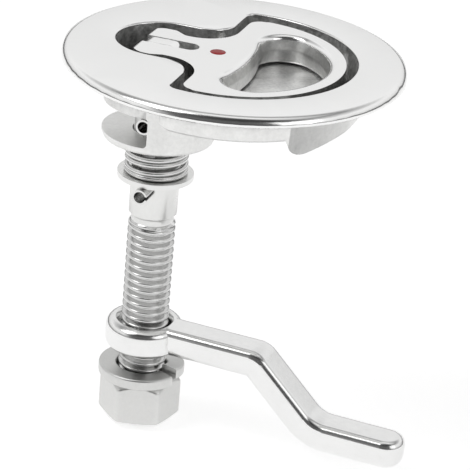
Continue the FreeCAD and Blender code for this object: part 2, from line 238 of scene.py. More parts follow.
def colour_mix(tree, share, first, second):
    """A mix of two colours, each a socket or a plain colour; gives its result."""
    node = tree.nodes.new("ShaderNodeMix")
    node.data_type = "RGBA"
    tree.links.new(share, node.inputs["Factor"])
    for given, colour in zip(node.inputs[6:8], (first, second)):
        if isinstance(colour, tuple):
            given.default_value = colour
        else:
            tree.links.new(colour, given)
    return node.outputs[2]


def group_socket(group, name, kind, direction, default=None):
    socket = group.interface.new_socket(name=name, in_out=direction, socket_type=kind)
    if default is not None:
        socket.default_value = default
    return socket


def noise_node(nodes, links, coords, scale, detail):
    noise = nodes.new("ShaderNodeTexNoise")
    noise.inputs["Detail"].default_value = detail
    noise.inputs["Roughness"].default_value = 0.6
    links.new(coords, noise.inputs["Vector"])
    links.new(scale, noise.inputs["Scale"])
    return noise.outputs["Fac"]


def metal_grain_group():
    """Fine height and tone variation of a metal surface, read from Object coordinates."""
    group = bpy.data.node_groups.new("metal_grain", "ShaderNodeTree")
    group_socket(group, "Grain Scale", "NodeSocketFloat", "INPUT", 900.0)
    group_socket(group, "Cloud Scale", "NodeSocketFloat", "INPUT", 90.0)
    group_socket(group, "Tone", "NodeSocketFloat", "INPUT", 0.05)
    group_socket(group, "Height", "NodeSocketFloat", "OUTPUT")
    group_socket(group, "Shade", "NodeSocketFloat", "OUTPUT")
    group_socket(group, "Cloud", "NodeSocketFloat", "OUTPUT")
    nodes, links = group.nodes, group.links
    given = nodes.new("NodeGroupInput")
    out = nodes.new("NodeGroupOutput")
    coords = nodes.new("ShaderNodeTexCoord").outputs["Object"]
    grain = noise_node(nodes, links, coords, given.outputs["Grain Scale"], 5.0)
    cloud = noise_node(nodes, links, coords, given.outputs["Cloud Scale"], 3.0)
    centred = math_node(group, "SUBTRACT", math_node(group, "ADD", grain, cloud), 1.0)
    shade = math_node(group, "MULTIPLY_ADD", centred, given.outputs["Tone"], 1.0)
    links.new(grain, out.inputs["Height"])
    links.new(shade, out.inputs["Shade"])
    links.new(cloud, out.inputs["Cloud"])
    return group


def edge_wear_and_glint_group():
    """Mask of brighter edges: real wear, and painted highlights where a finish gives it much weight."""
    group = bpy.data.node_groups.new("edge_wear_and_glint", "ShaderNodeTree")
    group_socket(group, "Sharpness", "NodeSocketFloat", "INPUT", 8.0)
    group_socket(group, "Mask", "NodeSocketFloat", "OUTPUT")
    nodes, links = group.nodes, group.links
    given = nodes.new("NodeGroupInput")
    out = nodes.new("NodeGroupOutput")
    point = nodes.new("ShaderNodeNewGeometry").outputs["Pointiness"]
    lifted = math_node(group, "SUBTRACT", point, EDGE_START)
    mask = math_node(group, "MULTIPLY", lifted, given.outputs["Sharpness"])
    mask.node.use_clamp = True
    links.new(mask, out.inputs["Mask"])
    return group


GRAIN = metal_grain_group()
WEAR_AND_GLINT = edge_wear_and_glint_group()


def new_material(name):
    """A material with its tree and its main shader."""
    material = bpy.data.materials.new(name)
    material.use_nodes = True
    return material, material.node_tree, material.node_tree.nodes["Principled BSDF"]


def grained_colour(tree, colour, **sizes):
    """The shared grain group with its inputs set, and a colour shaded by it."""
    grain = tree.nodes.new("ShaderNodeGroup")
    grain.node_tree = GRAIN
    for label, value in sizes.items():
        grain.inputs[label.replace("_", " ").title()].default_value = value
    shaded = tree.nodes.new("ShaderNodeVectorMath")
    shaded.operation = "SCALE"
    shaded.inputs[0].default_value = colour
    tree.links.new(grain.outputs["Shade"], shaded.inputs["Scale"])
    return grain, shaded.outputs["Vector"]


def metal(name, colour, roughness, rough_change, grain_scale, cloud_scale, tone, bump, bump_mm, wear_and_glint,
          metallic=1.0):
    """Metal with fine relief, clouded tone and roughness, and brighter edges, as wear and painted highlight.
    """
    material, tree, shader = new_material(name)
    shader.inputs["Metallic"].default_value = metallic
    grain, shaded = grained_colour(tree, colour, grain_scale=grain_scale, cloud_scale=cloud_scale, tone=tone)
    edge = tree.nodes.new("ShaderNodeGroup")
    edge.node_tree = WEAR_AND_GLINT
    # Edges are brightened by this amount: real wear where it is small, painted highlight where it is large
    worn_and_glinting = math_node(tree, "MULTIPLY", edge.outputs["Mask"], wear_and_glint)
    tree.links.new(colour_mix(tree, worn_and_glinting, shaded, WORN_AND_GLINTING_METAL), shader.inputs["Base Color"])
    rough = math_node(tree, "MULTIPLY_ADD", grain.outputs["Cloud"], rough_change,
                      roughness - rough_change / 2)
    tree.links.new(rough, shader.inputs["Roughness"])
    relief = tree.nodes.new("ShaderNodeBump")
    relief.inputs["Strength"].default_value = bump
    relief.inputs["Distance"].default_value = bump_mm * MM
    tree.links.new(grain.outputs["Height"], relief.inputs["Height"])
    tree.links.new(relief.outputs["Normal"], shader.inputs["Normal"])
    return material


def enamel():
    material, tree, shader = new_material("red_enamel")
    shaded = grained_colour(tree, (0.4, 0.008, 0.01), tone=0.2)[1]
    tree.links.new(shaded, shader.inputs["Base Color"])
    shader.inputs["Roughness"].default_value = 0.25
    shader.inputs["Specular IOR Level"].default_value = 0.25
    return material


POLISHED = metal("polished_steel", (0.86, 0.86, 0.855), roughness=0.16, rough_change=0.05,
                 grain_scale=700, cloud_scale=60, tone=0.03, bump=0.02, bump_mm=0.01, wear_and_glint=0.1)
TUMBLED = metal("tumbled_steel", (0.8, 0.8, 0.795), roughness=0.2, rough_change=0.08,
                grain_scale=900, cloud_scale=160, tone=0.12, bump=0.1, bump_mm=0.02, wear_and_glint=0.1)
CAST = metal("cast_steel", (0.78, 0.78, 0.77), roughness=0.42, rough_change=0.15,
             grain_scale=1400, cloud_scale=260, tone=0.25, bump=0.5, bump_mm=0.06, wear_and_glint=0.15)
# Recess floor: grainy cast finish, its colour raised as painted light for the light that reaches down into
# the recess
WELL_FLOOR_PAINTED_LIGHT = metal("recess_floor_painted_light", (0.88, 0.88, 0.87), roughness=0.42, rough_change=0.2,
             grain_scale=1600, cloud_scale=300, tone=0.6, bump=0.6, bump_mm=0.08, wear_and_glint=0.15)
# Recess walls and the handle's slot walls: rough cast grain, its colour lowered as painted shade for the
# deep gaps
WALL_PAINTED_SHADE = metal("recess_wall_painted_shade", (0.44, 0.44, 0.435), roughness=0.45, rough_change=0.25,
             grain_scale=1300, cloud_scale=420, tone=1.6, bump=0.9, bump_mm=0.12, wear_and_glint=0.3, metallic=0.8)
TURNED = metal("turned_steel", (0.72, 0.72, 0.71), roughness=0.28, rough_change=0.1,
               grain_scale=1200, cloud_scale=120, tone=0.08, bump=0.08, bump_mm=0.01, wear_and_glint=0.15)
# Thread: colour lowered as painted shade for its grooves, and strong edge brightening as painted highlights
# on its crests
THREAD_PAINTED_SHADE_AND_GLINT = metal("cut_thread_painted_shade_and_glint", (0.6, 0.6, 0.595), roughness=0.22, rough_change=0.1,
               grain_scale=1300, cloud_scale=200, tone=0.15, bump=0.08, bump_mm=0.01, wear_and_glint=0.85)
SPRING = metal("spring_wire", (0.66, 0.66, 0.655), roughness=0.26, rough_change=0.1,
               grain_scale=1500, cloud_scale=200, tone=0.1, bump=0.08, bump_mm=0.01, wear_and_glint=0.2)
# Strong edge brightening on the nut and the split washer: painted highlights along their corners
SATIN = metal("satin_steel", (0.62, 0.62, 0.61), roughness=0.36, rough_change=0.1,
              grain_scale=1600, cloud_scale=200, tone=0.12, bump=0.15, bump_mm=0.015, wear_and_glint=0.6)
BRUSHED = metal("brushed_steel", (0.8, 0.8, 0.79), roughness=0.34, rough_change=0.15,
                grain_scale=1500, cloud_scale=500, tone=0.5, bump=0.3, bump_mm=0.03, wear_and_glint=0.1)
ENAMEL = enamel()


# Meshes

def smooth_by_angle(mesh, degrees):
    for polygon in mesh.polygons:
        polygon.use_smooth = True
    mesh.set_sharp_from_angle(angle=math.radians(degrees))


def mesh_of(name, shape):
    """A new mesh from a bmesh, which is freed."""
    mesh = bpy.data.meshes.new(name)
    shape.to_mesh(mesh)
    shape.free()
    return mesh


def merged_copy(node, name):
    """A copy of a CAD node's mesh with its loose corners merged."""
    mesh = bpy.data.objects[node].data.copy()
    mesh.name = name
    shape = bmesh.new()
    shape.from_mesh(mesh)
    bmesh.ops.remove_doubles(shape, verts=shape.verts, dist=MERGE_DISTANCE)
    shape.to_mesh(mesh)
    shape.free()
    return mesh


def settled(piece):
    """Puts the result of a piece's modifiers in its own mesh and removes them."""
    depsgraph = bpy.context.evaluated_depsgraph_get()
    mesh = bpy.data.meshes.new_from_object(piece.evaluated_get(depsgraph))
    piece.modifiers.clear()
    piece.data = mesh
    mesh.name = piece.name
    return piece


def with_flat_faces(piece):
    """Normals led by the large faces, so that flats stay flat up to their rounded edges."""
    weighted = piece.modifiers.new("flat_faces", "WEIGHTED_NORMAL")
    weighted.keep_sharp = True
    weighted.weight = 100
    return settled(piece)


def give_finishes(mesh, materials, choose=None):
    """Gives a mesh its materials, and each face the one that choose names, or else the first."""
    mesh.materials.clear()
    for material in materials:
        mesh.materials.append(material)
    if choose:
        for polygon in mesh.polygons:
            polygon.material_index = materials.index(choose(polygon.center, polygon.normal))


def dressed(node, angle, materials, choose=None):
    """Stands for a CAD node: its mesh, merged and smoothed, with a finish for each face."""
    name = node + "_finish"
    mesh = merged_copy(node, name)
    smooth_by_angle(mesh, angle)
    give_finishes(mesh, materials, choose)
    return with_flat_faces(new_object(name, mesh))


def softened(piece, width):
    """Rounds a piece's sharp edges to a width in mm."""
    edges = piece.modifiers.new("softened", "BEVEL")
    edges.width = width * MM
    edges.segments = SOFT_SEGMENTS
    edges.limit_method = "ANGLE"
    edges.angle_limit = SOFT_ANGLE
    settled(piece)
    smooth_by_angle(piece.data, 40)


def arc_points(centre, radius, start, end, steps):
    """Points of an arc from start to end, in degrees."""
    points = []
    for step in range(steps + 1):
        a = math.radians(start + (end - start) * step / steps)
        points.append(Vector((centre[0] + radius * math.cos(a), centre[1] + radius * math.sin(a))))
    return points


def rounded_corner(before, corner, after, radius, steps=10):
    """Points of the arc that rounds a corner between two straight stretches."""
    corner = Vector(corner)
    back = (Vector(before) - corner).normalized()
    ahead = (Vector(after) - corner).normalized()
    half = back.angle(ahead) / 2
    reach = radius / math.tan(half)
    centre = corner + (back + ahead).normalized() * (radius / math.sin(half))
    start = corner + back * reach - centre
    end = corner + ahead * reach - centre
    sweep = start.angle_signed(end)
    return [centre + Matrix.Rotation(-sweep * step / steps, 2) @ start for step in range(steps + 1)]


def rounded_outline(corners):
    """Closed outline through (x, y, radius) corners."""
    points = []
    for i, (x, y, radius) in enumerate(corners):
        if radius == 0:
            points.append(Vector((x, y)))
        else:
            points += rounded_corner(corners[i - 1][:2], (x, y), corners[(i + 1) % len(corners)][:2], radius)
    return points


def block(name, outline, low, high, upright):
    """Closed solid from an outline in mm: upright along Z, or else lying along Y."""
    shape = bmesh.new()
    rings = []
    for level in (low, high):
        if upright:
            ring = [shape.verts.new((p.x * MM, p.y * MM, level * MM)) for p in outline]
        else:
            ring = [shape.verts.new((p.x * MM, level * MM, p.y * MM)) for p in outline]
        shape.faces.new(ring)
        rings.append(ring)
    for i in range(len(outline)):
        shape.faces.new((rings[0][i - 1], rings[0][i], rings[1][i], rings[1][i - 1]))
    bmesh.ops.recalc_face_normals(shape, faces=shape.faces)
    return new_object(name, mesh_of(name, shape))


def shaped_by(piece, *tools):
    """Cuts a piece by each (operation, tool) in turn and removes the tools."""
    for operation, tool in tools:
        cut = piece.modifiers.new("cut", "BOOLEAN")
        cut.operation = operation
        cut.solver = "EXACT"
        cut.object = tool
    settled(piece)
    for _operation, tool in tools:
        bpy.data.objects.remove(tool)
    return piece


def ring_of_columns(name, columns, material, angle, ends=False):
    """Solid ring: each column is one section's outline, and the next column stands beside it."""
    shape = bmesh.new()
    rings = [[shape.verts.new(place) for place in column] for column in columns]
    following = rings[1:] if ends else rings[1:] + rings[:1]
    for here, beside in zip(rings, following):
        for i in range(len(here)):
            shape.faces.new((here[i], beside[i], beside[i - 1], here[i - 1]))
    if ends:
        shape.faces.new(rings[0])
        shape.faces.new(rings[-1])
    bmesh.ops.recalc_face_normals(shape, faces=shape.faces)
    mesh = mesh_of(name, shape)
    smooth_by_angle(mesh, angle)
    mesh.materials.append(material)
    return with_flat_faces(new_object(name, mesh))


# Geometry Nodes

def curve_node(tree, points, value):
    """A curve through points of (input, output), with straight stretches between them."""
    node = tree.nodes.new("ShaderNodeFloatCurve")
    line = node.mapping.curves[0]
    while len(line.points) < len(points):
        line.points.new(0.5, 0.5)
    for knot, place in zip(line.points, points):
        knot.location = place
        knot.handle_type = "VECTOR"
    node.mapping.update()
    tree.links.new(value, node.inputs["Value"])
    return node.outputs[0]


def shape_group(name, sizes):
    """A Geometry Nodes tree with named sizes and a material to give."""
    group = bpy.data.node_groups.new(name, "GeometryNodeTree")
    group_socket(group, "Geometry", "NodeSocketGeometry", "OUTPUT")
    for label, default in sizes:
        group_socket(group, label, "NodeSocketInt" if isinstance(default, int) else "NodeSocketFloat",
                     "INPUT", default)
    group_socket(group, "Material", "NodeSocketMaterial", "INPUT")
    return group, group.nodes.new("NodeGroupInput").outputs


def close_group(group, given, geometry):
    """Ends a tree in Realize Instances and Set Material."""
    real = group.nodes.new("GeometryNodeRealizeInstances")
    painted = group.nodes.new("GeometryNodeSetMaterial")
    out = group.nodes.new("NodeGroupOutput")
    group.links.new(geometry, real.inputs[0])
    group.links.new(real.outputs[0], painted.inputs["Geometry"])
    group.links.new(given["Material"], painted.inputs["Material"])
    group.links.new(painted.outputs[0], out.inputs[0])
    return group


def placed_on_axis(group, angle, radius, height, geometry):
    """Moves each point to an angle and radius round the spindle's axis, at a height."""
    across = math_node(group, "MULTIPLY", math_node(group, "COSINE", angle), radius)
    place = group.nodes.new("ShaderNodeCombineXYZ")
    group.links.new(math_node(group, "ADD", across, SHAFT_X), place.inputs["X"])
    group.links.new(math_node(group, "MULTIPLY", math_node(group, "SINE", angle), radius), place.inputs["Y"])
    group.links.new(height, place.inputs["Z"])
    moved = group.nodes.new("GeometryNodeSetPosition")
    group.links.new(geometry, moved.inputs["Geometry"])
    group.links.new(place.outputs[0], moved.inputs["Position"])
    return moved.outputs[0]


def coil_group():
    """Round wire wound about the spindle's axis, climbing as its curve says."""
    group, given = shape_group("wound_wire", [
        ("Coil Radius", 0.005), ("Wire Radius", 0.0005), ("Low", 0.0), ("Rise", 0.005),
        ("Turns", 5.0), ("Start", 0.0), ("Steps", 200), ("Wire Sides", 12)])
    path = group.nodes.new("GeometryNodeCurvePrimitiveLine")
    path.inputs["End"].default_value = (1, 0, 0)
    steps = group.nodes.new("GeometryNodeResampleCurve")
    group.links.new(path.outputs[0], steps.inputs["Curve"])
    group.links.new(given["Steps"], steps.inputs["Count"])
    along = group.nodes.new("GeometryNodeSplineParameter").outputs["Factor"]
    turned = math_node(group, "MULTIPLY", math_node(group, "MULTIPLY", along, given["Turns"]), math.tau)
    angle = math_node(group, "ADD", turned, given["Start"])
    climbed = math_node(group, "MULTIPLY", curve_node(group, SPRING_CLIMB, along), given["Rise"])
    height = math_node(group, "ADD", climbed, given["Low"])
    wound = placed_on_axis(group, angle, given["Coil Radius"], height, steps.outputs[0])
    section = group.nodes.new("GeometryNodeCurvePrimitiveCircle")
    group.links.new(given["Wire Sides"], section.inputs["Resolution"])
    group.links.new(given["Wire Radius"], section.inputs["Radius"])
    wire = group.nodes.new("GeometryNodeCurveToMesh")
    wire.inputs["Fill Caps"].default_value = True
    group.links.new(wound, wire.inputs["Curve"])
    group.links.new(section.outputs[0], wire.inputs["Profile Curve"])
    return close_group(group, given, wire.outputs[0])


def thread_group():
    """Surface of a screw thread: a sheet wrapped round the axis and sheared by one pitch a turn."""
    group, given = shape_group("screw_thread", [
        ("Crest Radius", 0.005), ("Depth", 0.001), ("Pitch", 0.0016), ("Top", 0.0), ("End", -0.04),
        ("Neck Radius", 0.004), ("End Radius", 0.004), ("Run Out", 0.001),
        ("Turns", 30.0), ("Rows", 300), ("Sides", 64)])
    sheet = group.nodes.new("GeometryNodeMeshGrid")
    sheet.inputs["Size X"].default_value = 1.0
    sheet.inputs["Size Y"].default_value = 1.0
    group.links.new(given["Sides"], sheet.inputs["Vertices X"])
    group.links.new(given["Rows"], sheet.inputs["Vertices Y"])
    spot = group.nodes.new("ShaderNodeSeparateXYZ")
    group.links.new(group.nodes.new("GeometryNodeInputPosition").outputs[0], spot.inputs[0])
    round_share = math_node(group, "ADD", spot.outputs["X"], 0.5)
    row = math_node(group, "MULTIPLY", math_node(group, "ADD", spot.outputs["Y"], 0.5), given["Turns"])
    in_pitch = math_node(group, "FRACT", math_node(group, "ADD", row, ROW_NUDGE))
    tooth = curve_node(group, THREAD_TOOTH, in_pitch)
    turns_down = math_node(group, "SUBTRACT", math_node(group, "ADD", row, round_share), 1.0)
    below = math_node(group, "MULTIPLY", turns_down, given["Pitch"])
    free = math_node(group, "SUBTRACT", given["Top"], below)
    height = math_node(group, "MINIMUM", math_node(group, "MAXIMUM", free, given["End"]), given["Top"])
    under_top = math_node(group, "SUBTRACT", given["Top"], height)
    over_end = math_node(group, "SUBTRACT", height, given["End"])
    cut_in = math_node(group, "MINIMUM", math_node(group, "DIVIDE", under_top, given["Run Out"]), 1.0)
    groove = math_node(group, "MULTIPLY", math_node(group, "MULTIPLY", tooth, given["Depth"]), cut_in)
    cut = math_node(group, "SUBTRACT", given["Crest Radius"], groove)
    at_neck = math_node(group, "ADD", given["Neck Radius"], under_top)
    at_end = math_node(group, "ADD", given["End Radius"], over_end)
    radius = math_node(group, "MINIMUM", math_node(group, "MINIMUM", cut, at_neck), at_end)
    angle = math_node(group, "MULTIPLY", round_share, math.tau)
    wrapped = placed_on_axis(group, angle, radius, height, sheet.outputs[0])
    joined = group.nodes.new("GeometryNodeMergeByDistance")
    joined.inputs["Distance"].default_value = THREAD_WELD
    group.links.new(wrapped, joined.inputs["Geometry"])
    return close_group(group, given, joined.outputs[0])


def grown(name, group, sizes, material):
    """A plain object made by a Geometry Nodes tree with the given sizes."""
    piece = new_object(name, bpy.data.meshes.new(name))
    modifier = piece.modifiers.new("grown", "NODES")
    modifier.node_group = group
    identifiers = {item.name: item.identifier for item in group.interface.items_tree
                   if item.in_out == "INPUT"}
    for label, value in dict(sizes, Material=material).items():
        modifier[identifiers[label]] = value
    return settled(piece)


# Pieces

def housing_finish(centre, normal):
    """The finish of a face of the housing: polished, recess floor lightened as painted light, recess wall
    darkened as painted shade, or cast.
    """
    probe = centre + normal * MM
    in_ring = math.hypot(probe.x, probe.y) < RECESS_RADIUS * MM and probe.x > RECESS_START_X * MM
    in_lobe = math.hypot(probe.x - SHAFT_X, probe.y) < LOBE_RADIUS * MM
    in_neck = SHAFT_X < probe.x < NECK_END_X * MM and abs(probe.y) < LOBE_RADIUS * MM
    if centre.z > -SEAT_MARGIN * MM and normal.z > 0.05:
        return POLISHED
    # In the recess, faces that look up take the lighter floor colour, painted light; the others take the
    # darker wall colour, painted shade
    if (in_ring or in_lobe or in_neck) and centre.z > -LOBE_DEPTH * MM and normal.z > -0.1:
        return WELL_FLOOR_PAINTED_LIGHT if normal.z > 0.5 else WALL_PAINTED_SHADE
    return POLISHED if centre.z > -RIM_MARGIN * MM else CAST


def handle_finish(centre, normal):
    """The finish of a face of the handle: brushed in the finger hole, darkened in the slot as painted shade,
    or polished.
    """
    in_hole = math.hypot(centre.x, centre.y) < (HOLE_RADIUS + HOLE_MARGIN) * MM and centre.x > FLANK_X * MM
    in_slot = abs(centre.y) < (SLOT_HALF + SLOT_MARGIN) * MM and centre.x < SLOT_END_X * MM
    # The slot's side walls take the dark wall colour: painted shade
    if in_slot and abs(normal.z) < 0.5:
        return WALL_PAINTED_SHADE
    return BRUSHED if in_hole and abs(normal.z) < 0.3 else POLISHED


def handle_plan():
    """Outline of the ring handle from above, in mm: ring, waist and two ears."""
    far = handle_flank(WAIST_FAR, WAIST_FAR_ROUND, EAR_FAR, EAR_FAR_ROUND)
    near = handle_flank(WAIST_NEAR, WAIST_NEAR_ROUND, EAR_NEAR, EAR_NEAR_ROUND)
    near = [Vector((p.x, -p.y)) for p in reversed(near)]
    ring_end = math.degrees(math.atan2(far[0].y, far[0].x))
    return arc_points((0, 0), RING_RADIUS, -ring_end, ring_end, 120)[:-1] + far + near[:-1]


def handle_flank(waist, waist_round, ear, ear_round):
    """One side of the handle's outline, in mm, from the ring past the waist to the ear's end."""
    corners = [(FLANK_X, math.sqrt(RING_RADIUS ** 2 - FLANK_X ** 2), SHOULDER_RADIUS),
               (FLANK_X, waist, NECK_FILLET), (WAIST_X, waist, waist_round),
               (EAR_X, ear, EAR_START_ROUND), (EAR_END_X, ear, ear_round)]
    points = []
    for i, (x, y, radius) in enumerate(corners):
        before = (0, y) if i == 0 else corners[i - 1][:2]
        after = (EAR_END_X, 0) if i == len(corners) - 1 else corners[i + 1][:2]
        points += rounded_corner(before, (x, y), after, radius)
    return points


def finger_hole_plan(inset):
    """Outline of the finger hole, in mm, drawn in by inset."""
    outer = HOLE_RADIUS - inset
    side = HOLE_SIDE_RADIUS + inset
    corner = HOLE_CORNER_RADIUS - inset
    side_x = HOLE_SIDE_X - HOLE_SIDE_RADIUS
    corner_x = ((outer - corner) ** 2 - (side + corner) ** 2 + side_x ** 2) / (2 * side_x)
    corner_y = math.sqrt((outer - corner) ** 2 - corner_x ** 2)
    outer_angle = math.degrees(math.atan2(corner_y, corner_x))
    side_angle = math.degrees(math.atan2(corner_y, corner_x - side_x))
    return (arc_points((0, 0), outer, -outer_angle, outer_angle, 90)[:-1]
            + arc_points((corner_x, corner_y), corner, outer_angle, 180 + side_angle, 24)[:-1]
            + arc_points((side_x, 0), side, side_angle, -side_angle, 30)[:-1]
            + arc_points((corner_x, -corner_y), corner, 180 - side_angle, 360 - outer_angle, 24)[:-1])


def finger_hole_cutter():
    """Solid of the finger hole: rounded rims, and walls drawn in to a ridge half way down."""
    middle = (HANDLE_TOP + HANDLE_BOTTOM) / 2
    past = PAST_PIECE / 2
    rim = arc_points((-HOLE_RIM_ROUND, HANDLE_TOP - HOLE_RIM_ROUND), HOLE_RIM_ROUND, 90, 0, 6)
    levels = [(HANDLE_TOP + past, -HOLE_RIM_ROUND)] + [(p.y, p.x) for p in rim] + [
        (middle + HOLE_RIDGE_HALF, HOLE_RIDGE), (middle - HOLE_RIDGE_HALF, HOLE_RIDGE),
        (HANDLE_BOTTOM + HOLE_FOOT, 0.0), (HANDLE_BOTTOM, -HOLE_FOOT_FLARE),
        (HANDLE_BOTTOM - past, -HOLE_FOOT_FLARE)]
    shape = bmesh.new()
    rings = [[shape.verts.new((p.x * MM, p.y * MM, z * MM)) for p in finger_hole_plan(inset)]
             for z, inset in levels]
    for upper, lower in zip(rings, rings[1:]):
        for i in range(len(upper)):
            shape.faces.new((upper[i - 1], upper[i], lower[i], lower[i - 1]))
    shape.faces.new(rings[0])
    shape.faces.new(rings[-1])
    bmesh.ops.recalc_face_normals(shape, faces=shape.faces)
    return new_object("finger_hole", mesh_of("finger_hole", shape))


def handle_slot_plan():
    """Outline of the slot between the ears, in mm: flared at its mouth, round at its end."""
    end_x = SLOT_END_X - SLOT_HALF
    side = rounded_outline([(EAR_END_X - PAST_PIECE, SLOT_HALF + SLOT_FLARE, 0),
                            (EAR_END_X + SLOT_MOUTH, SLOT_HALF, SLOT_MOUTH_ROUND),
                            (end_x, SLOT_HALF, 0)])[:-1]
    end = arc_points((end_x, 0), SLOT_HALF, 90, -90, 24)
    return side + end + [Vector((p.x, -p.y)) for p in reversed(side)]


def handle_side():
    """Outline of the handle from the side, in mm: level ring and the cams under its ears."""
    past = RING_RADIUS + PAST_PIECE
    cam_start = math.degrees(math.asin((HANDLE_BOTTOM - CAM_Z) / CAM_RADIUS))
    cam = arc_points((CAM_X, CAM_Z), CAM_RADIUS, 180, 360 + cam_start, 48)
    end = rounded_corner((0, HANDLE_TOP), (EAR_END_X, HANDLE_TOP), (EAR_END_X, CAM_Z), EAR_TOP_ROUND)
    return ([Vector((past, HANDLE_TOP))] + end + [Vector((EAR_END_X, CAM_Z))] + cam
            + [Vector((past, HANDLE_BOTTOM))])


def handle_piece():
    """Ring handle with rounded edges, its ears' cams and the slot between them."""
    low = CAM_Z - CAM_RADIUS
    past = RING_RADIUS + PAST_PIECE
    handle = block("ring_handle", handle_plan(), low - PAST_PIECE / 2, HANDLE_TOP + PAST_PIECE / 2, True)
    # The near cam is narrower than its ear, so that it clears the lobe's wall when lifted
    left, outside = EAR_END_X - PAST_PIECE, -EAR_NEAR - PAST_PIECE
    beside_cam = [Vector(p) for p in ((left, outside), (SLOT_END_X, outside), (SLOT_END_X, -CAM_NEAR),
                                      (left, -CAM_NEAR))]
    cam_side = block("cam_side", beside_cam, low - PAST_PIECE, HANDLE_BOTTOM, True)
    slot_form = block("slot_form", handle_slot_plan(), low - PAST_PIECE, HANDLE_TOP + PAST_PIECE, True)
    shaped_by(handle, ("INTERSECT", block("side_form", handle_side(), -past, past, False)),
              ("DIFFERENCE", cam_side), ("DIFFERENCE", finger_hole_cutter()), ("DIFFERENCE", slot_form))
    softened(handle, HANDLE_EDGE)
    give_finishes(handle.data, [POLISHED, BRUSHED, WALL_PAINTED_SHADE], handle_finish)
    return with_flat_faces(handle)


def spring_piece():
    """Round wire spring, its end turns closed."""
    spring = grown("coil_spring", coil_group(), {
        "Coil Radius": SPRING_RADIUS, "Wire Radius": SPRING_WIRE, "Low": SPRING_LOW_Z,
        "Rise": SPRING_RISE, "Turns": SPRING_TURNS, "Start": SPRING_START,
        "Steps": round(SPRING_TURNS * SPRING_STEPS), "Wire Sides": WIRE_SIDES}, SPRING)
    smooth_by_angle(spring.data, 50)
    return spring


def threaded_spindle():
    """The CAD spindle above its neck, and below it a shaft with a real helical thread."""
    turns = math.ceil((THREAD_TOP_Z - THREAD_END_Z) / THREAD_PITCH) + 2
    thread = grown("thread", thread_group(), {
        "Crest Radius": THREAD_MAJOR, "Depth": THREAD_DEPTH, "Pitch": THREAD_PITCH, "Top": THREAD_TOP_Z,
        "End": THREAD_END_Z, "Neck Radius": NECK_RADIUS, "End Radius": THREAD_MAJOR - END_CHAMFER,
        "Run Out": THREAD_PITCH, "Turns": float(turns), "Rows": turns * THREAD_ROWS + 1,
        "Sides": THREAD_SIDES + 1}, TURNED)
    mesh = merged_copy("threaded_spindle", "spindle_shaft")
    shape = bmesh.new()
    shape.from_mesh(mesh)
    low = [f for f in shape.faces if f.calc_center_median().z < THREAD_TOP_Z]
    bmesh.ops.delete(shape, geom=low, context="FACES")
    shape.from_mesh(thread.data)
    flat = [f for f in shape.faces if f.calc_area() < FLAT_AREA]
    bmesh.ops.delete(shape, geom=flat, context="FACES")
    end_edges = [e for e in shape.edges if e.is_boundary
                 and max(v.co.z for v in e.verts) < THREAD_END_Z + END_CHAMFER / 2]
    bmesh.ops.contextual_create(shape, geom=end_edges)
    bmesh.ops.recalc_face_normals(shape, faces=shape.faces)
    # Faces below the neck take the thread's darker colour, painted shade, with painted highlights on its
    # crests
    for face in shape.faces:
        face.material_index = int(face.calc_center_median().z < THREAD_TOP_Z)
    give_finishes(mesh, [TURNED, THREAD_PAINTED_SHADE_AND_GLINT])
    shape.to_mesh(mesh)
    shape.free()
    bpy.data.objects.remove(thread)
    smooth_by_angle(mesh, 35)
    return new_object("spindle_shaft", mesh)


def tongue_head():
    """Top of the spindle's tongue, filling the slot between the ears flush with their tops."""
    profile = rounded_outline([
        (TONGUE_RIGHT_X, TONGUE_TOP, TONGUE_TOP_ROUND),
        (TONGUE_LEFT_X, TONGUE_TOP, TONGUE_TOP_ROUND),
        (TONGUE_LEFT_X, TONGUE_BOTTOM, TONGUE_UNDER_ROUND),
        (TONGUE_RIGHT_X, TONGUE_BOTTOM, TONGUE_UNDER_ROUND)])
    head = block("tongue_head", profile, -TONGUE_HALF, TONGUE_HALF, False)
    softened(head, TONGUE_EDGE)
    give_finishes(head.data, [POLISHED])
    return with_flat_faces(head)


def dot_piece():
    """Enamel dot: a low dome of red, its foot sunk in its socket."""
    columns = []
    for i in range(DOT_SIDES):
        a = math.tau * i / DOT_SIDES
        way = Vector((math.cos(a), math.sin(a), 0))
        columns.append([Vector((DOT_X, 0, HANDLE_TOP + z)) * MM + way * r * MM for r, z in DOT_SECTION])
    return ring_of_columns("enamel_dot", columns, ENAMEL, 60)


def lever_half_section():
    """One side of the arm's section, in mm, from the middle of its top to the middle below."""
    under = -LEVER_THICKNESS
    upper_centre = (LEVER_HALF - LEVER_TOP_ROUND, -LEVER_TOP_ROUND)
    lower_centre = (LEVER_HALF - LEVER_UNDER_ROUND, under + LEVER_UNDER_ROUND)
    upper = arc_points(upper_centre, LEVER_TOP_ROUND, 90, 0, 6)
    lower = arc_points(lower_centre, LEVER_UNDER_ROUND, 0, -90, 8)
    return [Vector((0, 0))] + upper + lower + [Vector((0, under))]


def lever_path():
    """Points along the top of the arm, in mm, each with the arm's slope there."""
    slope = math.atan2(LEVER_CRANK_DROP, LEVER_CRANK_RUN)
    reach = LEVER_BEND_RADIUS * math.tan(slope / 2)
    foot_x = LEVER_BEND_X + LEVER_CRANK_RUN
    low = LEVER_TOP - LEVER_CRANK_DROP
    path = [(EYE_BORE + 1, LEVER_TOP, 0)]
    steps = LEVER_BEND_STEPS
    for step in range(steps + 1):
        a = slope * step / steps
        path.append((LEVER_BEND_X - reach + LEVER_BEND_RADIUS * math.sin(a),
                     LEVER_TOP - LEVER_BEND_RADIUS * (1 - math.cos(a)), a))
    for step in range(steps + 1):
        a = slope * (1 - step / steps)
        path.append((foot_x + reach - LEVER_BEND_RADIUS * math.sin(a),
                     low + LEVER_BEND_RADIUS * (1 - math.cos(a)), a))
    path.append((LEVER_TIP_X, low, 0))
    return path


